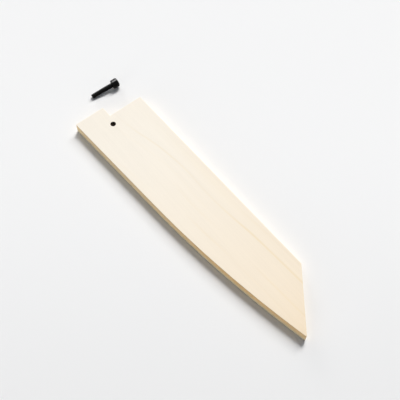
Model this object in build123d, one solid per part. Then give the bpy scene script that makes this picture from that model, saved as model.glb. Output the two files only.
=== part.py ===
from build123d import *
from math import asin, atan2, cos, degrees, radians, sin, tan
import os

# A wooden sheath for a kitchen knife with a slanted tip, and the peg that locks the knife in it.
# Millimetres. +X runs from the mouth to the tip, +Y from the cutting edge to the spine, +Z up.
# The origin is on the underside, at mid-width, where the heel of the blade comes to rest.

# Plan of the sheath
sheath_length = 240.0        # end of the tongue to the tip, were it sharp
sheath_width = 55.5          # edge side to spine, at the mouth
tongue_length = 10.0         # how far the edge half of the mouth stands out
tongue_width = 26.0          # edge side to the step
slant_run = 41.5             # stretch along the spine over which the slanted end falls away
edge_lean = 2.3              # degrees, the straight stretch of the edge side towards the spine
edge_straight = 96.0         # straight stretch of the edge side, from the end of the tongue
edge_sweep_radius = 880.0    # the curve that follows it to the tip

# Layers of the sheath
panel_thickness = 2.6
slot_thickness = 3.2
edge_wall = 3.3
spine_wall = 4.0
tip_wall = 4.2

# Hand finish of the sheath
corner_round = 0.9           # outer corners of the plan
tip_round = 0.5              # the pointed tip
step_round = 0.6             # inside corner of the step
face_round = 0.35            # edges of the two broad faces
mouth_lead_in = 0.7          # chamfer on the lips of the slot

# Peg
shank_diameter = 3.8
shank_length = 19.3
shank_parallel = 7.6         # the stretch next to the head that doesn't taper
shank_tip_diameter = 3.6
shank_tip_ease = 0.4
head_diameter = 7.5
head_length = 5.2
head_inner_ease = 0.3        # chamfer of the head, shank side
head_outer_ease = 0.6        # chamfer of the head, outer side
head_crown = 0.3             # how far the end of the head domes out

# Hole for the peg
peg_clearance = 0.1          # round the shank, measured on the radius
hole_setback = 18.1          # end of the tongue to the middle of the hole
hole_height = 23.1           # edge side to the middle of the hole
hole_ease = 0.3
heel_gap = 1.0               # wall of the hole to the heel of the blade

# Where the peg lies, pulled out, in front of the mouth
peg_setoff = 19.0            # end of the tongue to the tip of the shank
peg_height = 27.9            # edge side to the tip of the shank
peg_heading = 84.6           # degrees from +X, the way its head points

overrun = 5.0                # how far a cutter reaches past what it cuts

# Places that follow from the sizes
hole_radius = shank_diameter / 2 + peg_clearance
tongue_x = -(hole_setback + hole_radius + heel_gap)
mouth_x = tongue_x + tongue_length
tip_x = tongue_x + sheath_length
slant_x = tip_x - slant_run
edge_y = -sheath_width / 2
spine_y = sheath_width / 2
step_y = edge_y + tongue_width
hole_place = (tongue_x + hole_setback, edge_y + hole_height)
cover_z = panel_thickness + slot_thickness
sheath_thickness = cover_z + panel_thickness

# The edge side is a straight stretch and a tangent curve about this centre
lean = radians(edge_lean)
bend = (tongue_x + edge_straight, edge_y + edge_straight * tan(lean))
sweep_centre = (bend[0] - edge_sweep_radius * sin(lean), bend[1] + edge_sweep_radius * cos(lean))


def edge_side(inset, start_x, end_x):
    """Draws the edge side, moved towards the spine by inset, and returns its two ends."""
    radius = edge_sweep_radius - inset
    bend_x = sweep_centre[0] + radius * sin(lean)
    bend_y = sweep_centre[1] - radius * cos(lean)
    start = (start_x, bend_y - (bend_x - start_x) * tan(lean))
    end_lean = asin((end_x - sweep_centre[0]) / radius)
    straight = Line(start, (bend_x, bend_y))
    curve = JernArc(straight @ 1, straight % 1, radius, degrees(end_lean - lean))
    return straight @ 0, curve @ 1


def sheath_plan():
    """The outline of the sheath, its corners eased."""
    with BuildSketch() as plan:
        with BuildLine():
            heel_corner, tip = edge_side(0, tongue_x, tip_x)
            slant_corner = (slant_x, spine_y)
            spine_mouth = (mouth_x, spine_y)
            step = (mouth_x, step_y)
            tongue_corner = (tongue_x, step_y)
            Polyline(tip, slant_corner, spine_mouth, step, tongue_corner, heel_corner)
        make_face()
        fillet(plan.vertices().sort_by_distance(step)[0], step_round)
        fillet(plan.vertices().sort_by_distance(tip)[0], tip_round)
        for corner in (heel_corner, slant_corner, spine_mouth, tongue_corner):
            fillet(plan.vertices().sort_by_distance(corner)[0], corner_round)
    return plan.sketch


def inside_edge_wall():
    """Everything on the spine's side of the edge strip."""
    with BuildSketch() as region:
        with BuildLine():
            start, end = edge_side(edge_wall, tongue_x - overrun, tip_x + overrun)
            far_y = spine_y + overrun
            Polyline(end, (tip_x + overrun, far_y), (tongue_x - overrun, far_y), start)
        make_face()
    return region.sketch


def beyond_slant(inset):
    """Everything past the slanted end, moved towards the mouth by inset."""
    tip_y = sweep_centre[1] - (edge_sweep_radius**2 - (tip_x - sweep_centre[0]) ** 2) ** 0.5
    slant = Vector(tip_x - slant_x, tip_y - spine_y)
    along = slant.normalized()
    outward = Vector(-along.Y, along.X)
    across = outward * slant.length
    corner = Vector(slant_x, spine_y) - outward * inset
    upper = corner - along * slant.length
    lower = corner + along * 2 * slant.length
    with BuildSketch() as region:
        with BuildLine():
            Polyline(upper, lower, lower + across, upper + across, close=True)
        make_face()
    return region.sketch


def spine_band():
    """Everything that the spine strip takes up, across the spine wall."""
    with BuildSketch() as region:
        with Locations((mouth_x - overrun, spine_y - spine_wall)):
            Rectangle(sheath_length + 2 * overrun, spine_wall + overrun, align=(Align.MIN, Align.MIN))
    return region.sketch


def mouth_air(lead, height):
    """The space in front of the mouth, as wide as the slot and reaching lead into the panels."""
    front = tongue_x - overrun
    low = edge_y + edge_wall
    high = spine_y - spine_wall
    outline = Polyline(
        (front, low),
        (tongue_x + lead, low),
        (tongue_x + lead, step_y - lead),
        (mouth_x + lead, step_y - lead),
        (mouth_x + lead, high),
        (front, high),
        close=True,
    )
    return Pos(0, 0, height) * make_face(outline)


def cover():
    """One panel, its glued face on z = 0 and its broad face up."""
    lips = loft([mouth_air(mouth_lead_in, 0), mouth_air(0, mouth_lead_in)], ruled=True)
    with BuildPart() as panel:
        add(extrude(sheath_plan(), amount=panel_thickness))
        fillet(panel.faces().sort_by(Axis.Z)[-1].edges(), face_round)
        with Locations((*hole_place, panel_thickness)):
            CounterSinkHole(hole_radius, hole_radius + hole_ease, counter_sink_angle=90)
        add(lips, mode=Mode.SUBTRACT)
    return panel.part


def spacer(region):
    """One piece of the layer between the panels."""
    return Pos(0, 0, panel_thickness) * extrude(region, amount=slot_thickness)


def peg_on_axis():
    """The turned peg, the tip of its shank at the origin and its head towards +X."""
    tip_radius = shank_tip_diameter / 2
    shank_radius = shank_diameter / 2
    head_radius = head_diameter / 2
    head_end = shank_length + head_length
    with BuildPart() as peg:
        with BuildSketch(Plane.XZ):
            with BuildLine():
                side = Polyline(
                    (0, 0),
                    (0, tip_radius - shank_tip_ease),
                    (shank_tip_ease, tip_radius),
                    (shank_length - shank_parallel, shank_radius),
                    (shank_length, shank_radius),
                    (shank_length, head_radius - head_inner_ease),
                    (shank_length + head_inner_ease, head_radius),
                    (head_end - head_outer_ease, head_radius),
                    (head_end, head_radius - head_outer_ease),
                )
                TangentArc((head_end + head_crown, 0), side @ 1, tangent=(0, 1))
                Line((head_end + head_crown, 0), (0, 0))
            make_face()
        revolve(axis=Axis.X)
    return peg.part


def lying_peg():
    """The peg at rest on the rim of its head and the tip of its shank."""
    tip_radius = shank_tip_diameter / 2
    head_radius = head_diameter / 2
    slope = atan2(head_radius - tip_radius, shank_length + head_inner_ease - shank_tip_ease)
    rise = tip_radius * cos(slope) - shank_tip_ease * sin(slope)
    place = Location((tongue_x - peg_setoff, edge_y + peg_height, rise), (0, 0, peg_heading))
    return place * Rotation(0, -degrees(slope), 0) * peg_on_axis()


plan = sheath_plan()
core = plan & inside_edge_wall()
edge_strip = plan - inside_edge_wall()
spine_strip = core & spine_band()
tip_block = (core - spine_band()) & beyond_slant(tip_wall)

panel = cover()
pieces = {
    "top_panel": Pos(0, 0, cover_z) * panel,
    "bottom_panel": Pos(0, 0, panel_thickness) * mirror(panel, about=Plane.XY),
    "spine_strip": spacer(spine_strip),
    "edge_strip": spacer(edge_strip),
    "tip_block": spacer(tip_block),
    "peg": lying_peg(),
}

os.makedirs("parts", exist_ok=True)
for name, piece in pieces.items():
    export_step(piece, f"parts/{name}.step")
    print(name, "volume", round(piece.volume, 1), "mm3")

pocket = core - spine_band() - beyond_slant(tip_wall)
print("thickness of the sheath", round(sheath_thickness, 2))
print("room for a blade, heel to tip", round(pocket.bounding_box().max.X, 1))
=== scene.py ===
import bpy
import bmesh
from math import cos, pi, radians, sin
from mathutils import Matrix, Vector

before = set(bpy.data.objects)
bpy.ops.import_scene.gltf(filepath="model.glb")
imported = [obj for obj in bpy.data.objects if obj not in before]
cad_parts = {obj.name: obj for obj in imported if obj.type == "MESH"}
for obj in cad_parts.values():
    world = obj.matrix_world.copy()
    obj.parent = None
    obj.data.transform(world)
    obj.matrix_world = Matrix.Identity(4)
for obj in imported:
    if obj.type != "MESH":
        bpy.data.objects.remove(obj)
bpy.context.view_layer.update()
mm = 0.001


def tone(red, green, blue):
    # a screen colour from 0 to 255 as the linear colour that a shader takes
    shares = [value / 255 for value in (red, green, blue)]
    linear = [((share + 0.055) / 1.055) ** 2.4 if share > 0.04 else share / 12.92 for share in shares]
    return (*linear, 1.0)


class Wire:
    # wraps a shader socket, so that values can be added, multiplied and so on in plain expressions
    def __init__(self, tree, socket=None):
        self.tree = tree
        self.socket = socket

    def node(self, kind, settings={}, sockets={}, out=0):
        made = self.tree.nodes.new(kind)
        for name, value in settings.items():
            if name == "points":
                self.setPoints(made.mapping, value)
            else:
                setattr(made, name, value)
        for name, value in sockets.items():
            if isinstance(value, Wire):
                self.tree.links.new(value.socket, made.inputs[name])
            else:
                made.inputs[name].default_value = value
        return Wire(self.tree, made.outputs[out])

    def setPoints(self, mapping, points):
        curve = mapping.curves[0]
        while len(curve.points) < len(points):
            curve.points.new(0.5, 0.5)
        for point, place in zip(curve.points, points):
            point.location = place
        mapping.update()

    def maths(self, operation, first, second=0.0):
        return self.node("ShaderNodeMath", {"operation": operation}, {0: first, 1: second})

    def __add__(self, other):
        return self.maths("ADD", self, other)

    def __radd__(self, other):
        return self.maths("ADD", other, self)

    def __sub__(self, other):
        return self.maths("SUBTRACT", self, other)

    def __rsub__(self, other):
        return self.maths("SUBTRACT", other, self)

    def __mul__(self, other):
        return self.maths("MULTIPLY", self, other)

    def __rmul__(self, other):
        return self.maths("MULTIPLY", other, self)

    def __truediv__(self, other):
        return self.maths("DIVIDE", self, other)

    def __rtruediv__(self, other):
        return self.maths("DIVIDE", other, self)

    def __abs__(self):
        return self.maths("ABSOLUTE", self)

    def bell(self, width):
        # 1 where the value is 0, falling to nearly 0 at about twice the width
        return self.maths("EXPONENT", self.maths("POWER", self / width, 2.0) * -1.0)

    def between(self, low, high):
        # 0 below low, 1 above high, with a soft step
        return self.node("ShaderNodeMapRange", {"interpolation_type": "SMOOTHSTEP"},
                         {"Value": self, "From Min": low, "From Max": high})

    def axis(self, index):
        # one part of a vector: 0, 1 or 2 for x, y or z
        return self.node("ShaderNodeSeparateXYZ", {}, {0: self}, out=index)

    def scaled(self, factor):
        return self.node("ShaderNodeVectorMath", {"operation": "SCALE"}, {0: self, "Scale": factor})

    def turned(self, heading):
        # turns a place about the upright axis, so that x runs along the heading
        return self.node("ShaderNodeVectorRotate", {"rotation_type": "Z_AXIS"},
                         {"Vector": self, "Angle": -radians(heading)})

    def colours(self, factor, first, second, blend="MIX"):
        # inputs 6 and 7 and output 2 are the Mix node's colour sockets
        return self.node("ShaderNodeMix", {"data_type": "RGBA", "blend_type": blend},
                         {0: factor, 6: first, 7: second}, out=2)

    def point(self, x, y, z):
        return self.node("ShaderNodeCombineXYZ", {}, {0: x, 1: y, 2: z})

    def noise(self, place, detail=2.0, roughness=0.5):
        return self.node("ShaderNodeTexNoise", {}, {"Vector": place, "Scale": 1.0, "Detail": detail,
                                                    "Roughness": roughness})


def newMaterial(name):
    material = bpy.data.materials.new(name)
    material.use_nodes = True
    tree = material.node_tree
    return material, Wire(tree), tree.nodes["Principled BSDF"]


def feed(wire, shader, **sockets):
    # links what varies, and sets plain numbers on the shader's own sockets
    for name, value in sockets.items():
        socket = shader.inputs[name.replace("_", " ")]
        if isinstance(value, Wire):
            wire.tree.links.new(value.socket, socket)
        else:
            socket.default_value = value


# Pale wood of the sheath. Lengths in millimetres, in the sheath's own frame
woodLook = {
    "face": tone(247, 239, 225),
    "faceTipAndFalloff": tone(241, 219, 186.5),
    "side": tone(246, 216, 162),     # the edge side at the top, warmer than the face partly as painted shade
    "sideLowPaintedLight": tone(248, 230, 191),  # and at the bottom, lighter as painted light where less light reaches it
    "sideTip": tone(246, 202, 132),  # the top turns to this towards the tip
    "sideTipShare": 0.85,
    # the spine side, darker as painted shade that holds down the light it throws on the floor
    "sideSpinePaintedShade": tone(228, 208, 176),
    "endGrain": tone(228, 200, 156),
    "inside": tone(222, 196, 156),   # the slot, never sanded, and darker as painted shade in it
    "paintedBoreShade": tone(20, 16, 14),        # the peg's hole, black as painted shade in the deep hole
    "glue": tone(150, 118, 80),
    "glueWidth": 0.09,
    "glueShare": 0.35,
    "worn": tone(226, 190, 134),     # rounded edges, darkened by hands
    "wornShare": 0.6,
    "wornLeast": 0.5,                # how much of the wear is there between its patches
    "paintedFootShade": tone(126, 98, 68),       # lower edges, painted shade where the sheath meets the worktop
    "footLeast": 0.6,
    "footLean": -0.5,                # upright share of the normal where it is darkest
    "footWidth": 0.4,
    "line": tone(232, 206, 150),
    "lineDark": 0.4,
    "lineTilt": 0.6,                 # how far a growth line leans sideways through the thickness
    "lineFade": 30.0,                # how long a growth line takes to come in and to fade out
    "lineSway": 1.6,
    "swayScale": 0.025,
    "swayStep": 3.7,                 # keeps the sway of one line apart from that of the next
    "thickness": 8.4,
    "slotHalf": 1.6,
    "hole": (-3.0, -4.65),
    "holeRadius": 2.0,
    "sawTeeth": 5.5,                 # saw marks in the slot, radians of their wave per millimetre
    "sawWander": 4.0,
    "wornScale": 0.09,               # how fine the patches of wear are
    "handledScale": 0.06,
    "ior": 1.42,
    "bumpStrength": 0.35,
    "bumpDepth": 0.04,
}

# Grain: how fine it is along, across and through the wood, then its detail and roughness
woodGrain = {
    "fibres": (0.05, 3.2, 3.2, 4.0, 0.6),
    "threads": (0.02, 0.9, 0.9, 2.0, 0.5),
    "clouds": (0.012, 0.12, 0.3, 3.0, 0.5),
    "pores": (0.4, 8.0, 8.0, 1.0, 0.5),
}

# How much each makes the wood lighter and darker
woodContrast = {
    "fibres": 0.06,
    "threads": 0.05,
    "clouds": 0.05,
    "pores": 0.05,
    "handled": 0.012,
    "rubbed": 0.012,
    "endFibres": 0.12,
}

# How rough the wood is, and what adds to it or takes from it
woodRoughness = {
    "plain": 0.6,
    "fibres": 0.12,
    "inside": 0.15,
    "rubbed": -0.08,
    "worn": -0.15,
}

# How far each stands proud or lies deep, as shares of the bump's depth
woodRelief = {
    "fibres": 0.6,
    "pores": -0.8,
    "saw": 0.3,
    "lines": -0.5,
}

# Soft steps from one part of the surface to the next: where each starts and where it is complete
woodSteps = {
    "faceTurn": (0.15, 0.8),         # from a side to a broad face, by the upright share of the normal
    "endTurn": (0.35, 0.9),          # from a long side to end grain, by its lengthwise share
    "wornStart": (0.08, 0.3),        # rounded edges lie between these two, by the upright share
    "wornEnd": (0.5, 0.8),
    "footHeight": (0.3, 0.7),        # above the worktop
    "slotWall": (0.02, 0.1),         # past half the slot's thickness
    "boreRim": (0.04, 0.3),          # this and the next three, past the rim of the hole
    "rubStart": (0.0, 1.0),
    "rubEnd": (1.4, 2.6),
    "slotShadeEnd": (1.6, 3.0),
    "lineFront": (-0.75, 0.15),      # a growth line starts sharply and fades slowly
    "lineBack": (0.0, 1.8),
    "sideHeight": (0.0, 7.5),
    "sideTipHeight": (1.0, 6.0),
    "sideTipAlong": (20.0, 170.0),
    "sideAcross": (-20.0, 20.0),     # from the edge side to the spine side
    "handledAlong": (-21.0, 60.0),   # the part near the mouth, which hands hold
    "handledPatches": (0.45, 0.75),
    "wornPatches": (0.25, 0.75),
    "pores": (0.66, 0.78),
}

# The main growth line, as places along and across the sheath
growthPath = [(-30, -2.0), (-8, 1.6), (17, 5.5), (25, 7.6), (47, 11.4), (68, 12.9), (92, 12.3),
              (115, 13.4), (138, 15.7), (158, 16.8), (188, 18.0), (225, 19.6)]

growthPathRange = (-5.0, 25.0)

# How strong the main line is along the sheath
growthStrength = [(-30, 0.05), (0, 0.1), (22, 0.36), (45, 0.42), (70, 0.26), (92, 0.23), (110, 0.42),
                  (125, 0.7), (140, 1.0), (158, 0.88), (190, 0.92), (225, 0.95)]

# Other growth lines: offset from the main one, strength, softness, and where each starts and ends
growthLines = [
    (-16.3, 0.16, 2.0, 150.0, 240.0),
    (-23.7, 0.13, 2.4, 90.0, 150.0),
    (-24.2, 0.05, 2.4, 130.0, 240.0),
    (-14.5, 0.06, 3.0, 60.0, 130.0),
    (-8.3, 0.03, 2.4, -30.0, 120.0),
    (-32.0, 0.05, 2.4, -30.0, 70.0),
    (8.2, 0.08, 2.6, 110.0, 200.0),
]

# Broad warmer stretches of the face: middle, half length, half width and strength
warmStretches = [(75.0, 25.0, 50.0, 6.0, 0.09), (70.0, -26.0, 45.0, 5.0, 0.06)]

# How far the face has turned to its colour at the tip, partly its own colour and partly painted shade where
# the light falls off towards the tip
tipColourAndFalloff = [(-30, 0.0), (20, 0.0), (95, 0.2), (155, 0.42), (178, 0.5), (225, 0.95)]


def curveOf(wire, value, points, low, high):
    # a smooth curve through the points, which lie between low and high
    left, right = points[0][0], points[-1][0]
    scaled = [((x - left) / (right - left), (y - low) / (high - low)) for x, y in points]
    curve = wire.node("ShaderNodeFloatCurve", {"points": scaled}, {"Value": (value - left) / (right - left)})
    return curve * (high - low) + low


def growthMarks(wire, x, y, z, turn, shift, seed):
    # growth lines follow the main one, each with a little sway of its own
    look = woodLook
    steps = woodSteps
    fade = look["lineFade"]
    path = curveOf(wire, x, growthPath, *growthPathRange)
    strength = curveOf(wire, x, growthStrength, 0.0, 1.0)
    depth = (z - look["thickness"]) * look["lineTilt"]
    across = y * turn - path - shift + depth
    marks = across.between(*steps["lineFront"]) * (1.0 - across.between(*steps["lineBack"]))
    marks = marks * strength * look["lineDark"]
    for index, (offset, dark, softness, start, end) in enumerate(growthLines):
        sway = wire.noise(wire.point(x * look["swayScale"], index * look["swayStep"] + seed, 0.0))
        gap = across - offset + (sway - 0.5) * look["lineSway"]
        mark = gap.between(*steps["lineFront"]) * (1.0 - gap.between(0.0, softness))
        ends = x.between(start, start + fade) * (1.0 - x.between(end - fade, end))
        marks = mark * ends * dark + marks
    for middleX, middleY, halfLength, halfWidth, warmth in warmStretches:
        stretch = (x - middleX).bell(halfLength) * (y * turn - middleY).bell(halfWidth)
        marks = stretch * warmth + marks
    return marks


def grainOf(wire, x, y, z, seed, kind):
    along, across, deep, detail, roughness = woodGrain[kind]
    return wire.noise(wire.point(x * along, y * across, z * deep + seed), detail, roughness)


def patchesOf(wire, x, y, seed, scale, steps):
    return wire.noise(wire.point(x * scale, y * scale, seed), 3.0).between(*steps)


def paleWood(name, turn=1.0, shift=0.0, seed=0.0, shade=1.0):
    # turn and shift lay the growth lines across the piece, and seed changes its grain
    material, wire, shader = newMaterial(name)
    look = woodLook
    steps = woodSteps
    contrast = woodContrast
    place = wire.node("ShaderNodeTexCoord", out="Object").scaled(1 / mm)
    x, y, z = (place.axis(index) for index in range(3))
    normal = wire.node("ShaderNodeTexCoord", out="Normal")
    normalX = normal.axis(0)
    normalZ = normal.axis(2)

    # fibres and pores run along the sheath, and clouds of light and dark come with them
    lines = growthMarks(wire, x, y, z, turn, shift, seed)
    fibres = grainOf(wire, x, y, z, seed, "fibres")
    threads = grainOf(wire, x, y, z, seed, "threads")
    clouds = grainOf(wire, x, y, z, seed, "clouds")
    pores = grainOf(wire, x, y, z, seed, "pores").between(*steps["pores"])

    # which surface this is: broad face, long side, end grain, slot or hole
    steep = abs(normalZ)
    side = 1.0 - steep.between(*steps["faceTurn"])
    ends = abs(normalX).between(*steps["endTurn"])
    pastSlot = abs(z - look["thickness"] / 2) - look["slotHalf"]
    inside = 1.0 - pastSlot.between(*steps["slotWall"])
    seam = pastSlot.bell(look["glueWidth"]) * side
    holeX, holeY = look["hole"]
    away = wire.maths("SQRT", (x - holeX) * (x - holeX) + (y - holeY) * (y - holeY))
    pastHole = away - look["holeRadius"]
    # painted shade in the hole and in the slot around it
    paintedBoreShade = 1.0 - pastHole.between(*steps["boreRim"])
    rubbed = pastHole.between(*steps["rubStart"]) * (1.0 - pastHole.between(*steps["rubEnd"]))
    paintedSlotShade = inside * (1.0 - pastHole.between(*steps["slotShadeEnd"]))

    # wear comes in patches on rounded edges and near the mouth; the painted shade along the lower edges
    # comes in the same patches
    patchy = patchesOf(wire, x, y, seed, look["wornScale"], steps["wornPatches"])
    worn = steep.between(*steps["wornStart"]) * (1.0 - steep.between(*steps["wornEnd"]))
    worn = worn * (patchy * (1.0 - look["wornLeast"]) + look["wornLeast"])
    # painted shade along the lower edges, where the sheath meets the worktop
    paintedFootShade = (normalZ - look["footLean"]).bell(look["footWidth"]) * (1.0 - z.between(*steps["footHeight"]))
    paintedFootShade = paintedFootShade * (patchy * (1.0 - look["footLeast"]) + look["footLeast"])
    handled = patchesOf(wire, x, y, seed, look["handledScale"], steps["handledPatches"])
    handled = handled * (1.0 - x.between(*steps["handledAlong"]))

    # the long sides' colour is partly painted light and shade: lighter at the bottom, darker on the spine
    # side
    sides = wire.colours(z.between(*steps["sideHeight"]), look["sideLowPaintedLight"], look["side"])
    tipSide = x.between(*steps["sideTipAlong"]) * z.between(*steps["sideTipHeight"])
    sides = wire.colours(tipSide * look["sideTipShare"], sides, look["sideTip"])
    sides = wire.colours(y.between(*steps["sideAcross"]), sides, look["sideSpinePaintedShade"])
    # the face darkens towards the tip, partly its own colour and partly painted shade
    colour = wire.colours(curveOf(wire, x, tipColourAndFalloff, 0.0, 1.0), look["face"], look["faceTipAndFalloff"])
    colour = wire.colours(side, colour, sides)
    colour = wire.colours(ends * side, colour, look["endGrain"])
    colour = wire.colours(inside * (1.0 - side), colour, look["inside"])
    colour = wire.colours(lines * (1.0 - side), colour, look["line"])
    colour = wire.colours(seam * look["glueShare"], colour, look["glue"])
    colour = wire.colours(worn * look["wornShare"], colour, look["worn"])
    colour = wire.colours(paintedFootShade, colour, look["paintedFootShade"])

    # the grain makes all of it lighter and darker
    grey = (fibres - 0.5) * contrast["fibres"] + 1.0
    grey = grey + (threads - 0.5) * contrast["threads"] + (clouds - 0.5) * contrast["clouds"]
    grey = grey - pores * contrast["pores"] - handled * contrast["handled"] - rubbed * contrast["rubbed"]
    grey = grey * shade + (fibres - 0.5) * ends * contrast["endFibres"]
    greyColour = wire.node("ShaderNodeCombineColor", {}, {0: grey, 1: grey, 2: grey})
    colour = wire.colours(1.0, colour, greyColour, "MULTIPLY")
    # painted shade: the hole and the slot near it are made black
    colour = wire.colours(wire.maths("MAXIMUM", paintedBoreShade, paintedSlotShade), colour, look["paintedBoreShade"])

    # saw marks cross the slot's faces
    relief = woodRelief
    sawn = wire.maths("SINE", x * look["sawTeeth"] + (fibres - 0.5) * look["sawWander"]) * inside
    height = fibres * relief["fibres"] + pores * relief["pores"] + sawn * relief["saw"]
    height = height + lines * (1.0 - side) * relief["lines"]
    bump = wire.node("ShaderNodeBump", {}, {"Strength": look["bumpStrength"],
                                            "Distance": look["bumpDepth"] * mm, "Height": height})
    change = woodRoughness
    rough = (fibres - 0.5) * change["fibres"] + change["plain"] + inside * change["inside"]
    rough = rough + rubbed * change["rubbed"] + worn * change["worn"]
    feed(wire, shader, Base_Color=colour, Roughness=rough, Normal=bump, IOR=look["ior"])
    return material


# Black wood of the peg. Its grain runs along it
pegLook = {
    "colour": tone(6, 6, 6),
    "grain": tone(14, 12, 11),
    "grainAlong": 0.25,      # how fine the grain is along the peg
    "grainAcross": 5.0,
    "grainSteps": (0.5, 0.8),
    "grainRough": 0.1,
    "roughness": 0.28,
    "gloss": 0.07,
    "heading": 84.6,
    "paintedHighlight": 1.0,            # a coat streak along the top of the head, placed where the lamps' highlight falls: a painted highlight
    "shineLean": -0.03,
    "shineWidth": 0.13,
    "shineTop": (0.5, 0.9),
    "shankShine": 0.12,
    "coatRoughness": 0.2,
    "coatIor": 4.0,
    "scuffScale": 1.5,
    "scuffSteps": (0.55, 0.75),
    "scuffRough": 0.12,
    "scuffDull": 0.25,
    "headStart": 15.4,       # millimetres along the peg, from the frame's origin
    "headEase": 0.5,
    "bumpStrength": 0.15,
    "bumpDepth": 0.02,
}


def blackWood(name):
    material, wire, shader = newMaterial(name)
    look = pegLook
    heading = radians(look["heading"])
    place = wire.node("ShaderNodeTexCoord", out="Object").turned(look["heading"]).scaled(1 / mm)
    x, y, z = (place.axis(index) for index in range(3))
    fine = look["grainAcross"]
    grain = wire.noise(wire.point(x * look["grainAlong"], y * fine, z * fine), 3.0, 0.6)
    scuffs = wire.noise(place.scaled(look["scuffScale"]), 4.0, 0.6).between(*look["scuffSteps"])
    colour = wire.colours(grain.between(*look["grainSteps"]), look["colour"], look["grain"])
    rough = (grain - 0.5) * look["grainRough"] + scuffs * look["scuffRough"] + look["roughness"]

    # painted highlight: the coat streak lies where the surface faces up towards the lamps, and is strong on
    # the head alone
    normal = wire.node("ShaderNodeTexCoord", out="Normal")
    lean = wire.node("ShaderNodeVectorMath", {"operation": "DOT_PRODUCT"},
                     {0: normal, 1: (-sin(heading), cos(heading), 0.0)}, out="Value")
    paintedHighlight = (lean - look["shineLean"]).bell(look["shineWidth"]) * normal.axis(2).between(*look["shineTop"])
    paintedHighlight = paintedHighlight * (1.0 - scuffs * look["scuffDull"])
    head = x.between(look["headStart"], look["headStart"] + look["headEase"])
    head = head * (1.0 - look["shankShine"]) + look["shankShine"]
    bump = wire.node("ShaderNodeBump", {}, {"Strength": look["bumpStrength"],
                                            "Distance": look["bumpDepth"] * mm, "Height": grain})
    feed(wire, shader, Base_Color=colour, Roughness=rough, Normal=bump, Specular_IOR_Level=look["gloss"],
         Coat_Weight=paintedHighlight * head * look["paintedHighlight"], Coat_Roughness=look["coatRoughness"],
         Coat_IOR=look["coatIor"])
    return material


finishes = {
    "top_panel": paleWood("topPanelWood"),
    "bottom_panel": paleWood("bottomPanelWood", turn=-1.0, shift=-12.0, seed=31.0, shade=0.99),
    "spine_strip": paleWood("spineStripWood", shift=4.0, seed=57.0, shade=0.985),
    "edge_strip": paleWood("edgeStripWood", shift=-5.0, seed=73.0, shade=1.03),
    "tip_block": paleWood("tipBlockWood", shift=2.0, seed=91.0, shade=0.985),
    "peg": blackWood("pegWood"),
}
for name, finish in finishes.items():
    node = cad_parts[name]
    node.data.materials.clear()
    node.data.materials.append(finish)
print("wood and peg finished")

# The camera stands where the photograph was taken from
cameraPlace = {
    "target": (89.42 * mm, 7.84 * mm, 0.0),
    "heading": 140.768,      # degrees from +X, the way the camera looks
    "elevation": 60.709,
    "distance": 525.23 * mm,
    "lens": 63.0,
    "clipStart": 10 * mm,
    "clipEnd": 50.0,
}


def aim(thing, heading, elevation, distance):
    # stands a camera or lamp off from the target and turns it to look at it, angles in degrees
    level = cos(radians(elevation))
    sight = Vector((level * cos(radians(heading)), level * sin(radians(heading)), -sin(radians(elevation))))
    thing.location = Vector(cameraPlace["target"]) - sight * distance
    thing.rotation_euler = sight.to_track_quat("-Z", "Y").to_euler()


def addCamera():
    place = cameraPlace
    camera = bpy.data.objects.new("photoCamera", bpy.data.cameras.new("photoCamera"))
    bpy.context.scene.collection.objects.link(camera)
    camera.data.lens = place["lens"]
    camera.data.clip_start = place["clipStart"]
    camera.data.clip_end = place["clipEnd"]
    aim(camera, place["heading"], place["elevation"], place["distance"])
    bpy.context.scene.camera = camera


addCamera()
print("camera placed")

# A pale floor, darker towards the front as painted shade where the light falls off, a soft window of lamps
# behind, a weak lamp in front, and a pale sky
studio = {
    "floor": tone(246, 246, 246),
    "floorFrontShade": tone(232, 232, 232),
    "floorHeading": 140.8,   # from the front to the back, degrees from +X
    "floorTurn": (-0.36, 0.0),    # metres along that heading, from the front colour to the other
    "floorSize": 60.0,
    "floorDrop": 0.03 * mm,
    "floorRoughness": 0.7,
    "floorIor": 1.3,
    "windowSpread": 13.0,    # degrees across each lamp behind
    "windowColour": (1.014, 1.0, 0.98),
    "frontHeading": 105.0,
    "frontElevation": 9.0,
    "frontSpread": 30.0,
    "frontLevel": 0.18,      # how bright it makes a white wall that faces it
    "sky": 0.97,             # as the camera and gloss see it
    "skyColour": (1.0, 1.0, 1.0, 1.0),
    "fill": 0.12,            # as it lights the object
    "fillColour": (0.88, 1.0, 1.18, 1.0),
}

# The lamps behind stand close together, like a tall window: heading in degrees from +X, the way the light
# shines, elevation, and how bright each makes a white floor
windowLamps = [
    (301.0, 55.0, 0.263),
    (301.0, 45.0, 0.212),
    (316.0, 55.0, 0.158),
    (286.0, 35.0, 0.124),
    (346.0, 15.0, 0.038),
    (1.0, 35.0, 0.03),
]


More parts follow.
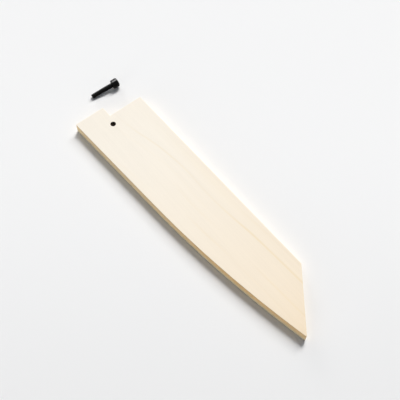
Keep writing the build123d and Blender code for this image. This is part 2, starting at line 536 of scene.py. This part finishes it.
def addFloor():
    mesh = bpy.data.meshes.new("floor")
    shape = bmesh.new()
    half = studio["floorSize"] / 2
    low = -studio["floorDrop"]
    corners = [(-half, -half, low), (half, -half, low), (half, half, low), (-half, half, low)]
    shape.faces.new([shape.verts.new(corner) for corner in corners])
    shape.to_mesh(mesh)
    shape.free()
    floor = bpy.data.objects.new("floor", mesh)
    bpy.context.scene.collection.objects.link(floor)
    material, wire, shader = newMaterial("floorPaint")
    along = wire.node("ShaderNodeTexCoord", out="Object").turned(studio["floorHeading"])
    # painted shade: the floor turns darker towards the front, where the light falls off
    back = along.axis(0).between(*studio["floorTurn"])
    colour = wire.colours(back, studio["floorFrontShade"], studio["floor"])
    feed(wire, shader, Base_Color=colour, Roughness=studio["floorRoughness"], IOR=studio["floorIor"])
    mesh.materials.append(material)


def addLamp(name, heading, elevation, spread, level):
    # a soft light like a clouded sun; the level is what it gives a white surface that faces it
    lamp = bpy.data.lights.new(name, "SUN")
    lamp.angle = radians(spread)
    lamp.energy = level * pi
    holder = bpy.data.objects.new(name, lamp)
    bpy.context.scene.collection.objects.link(holder)
    aim(holder, heading, elevation, 1.0)
    return lamp


def addLamps():
    for index, (heading, elevation, level) in enumerate(windowLamps):
        facing = level / sin(radians(elevation))
        lamp = addLamp("windowLamp%d" % (index + 1), heading, elevation, studio["windowSpread"], facing)
        lamp.color = studio["windowColour"]
    facing = studio["frontLevel"] / cos(radians(studio["frontElevation"]))
    addLamp("frontLamp", studio["frontHeading"], studio["frontElevation"], studio["frontSpread"], facing)


def addSky():
    # the sky looks white to the camera and in gloss, and lights the object weakly with a cool fill
    world = bpy.data.worlds.new("sky")
    world.use_nodes = True
    bpy.context.scene.world = world
    tree = world.node_tree
    wire = Wire(tree)
    seen = 0.0
    for ray in ("Is Camera Ray", "Is Glossy Ray", "Is Transmission Ray"):
        seen = wire.maths("MAXIMUM", seen, wire.node("ShaderNodeLightPath", out=ray))
    strength = seen * (studio["sky"] - studio["fill"]) + studio["fill"]
    colour = wire.colours(seen, studio["fillColour"], studio["skyColour"])
    background = tree.nodes["Background"]
    tree.links.new(colour.socket, background.inputs["Color"])
    tree.links.new(strength.socket, background.inputs["Strength"])


addFloor()
addLamps()
addSky()
bpy.context.scene.view_settings.view_transform = "Standard"
print("floor, lamps and sky added")
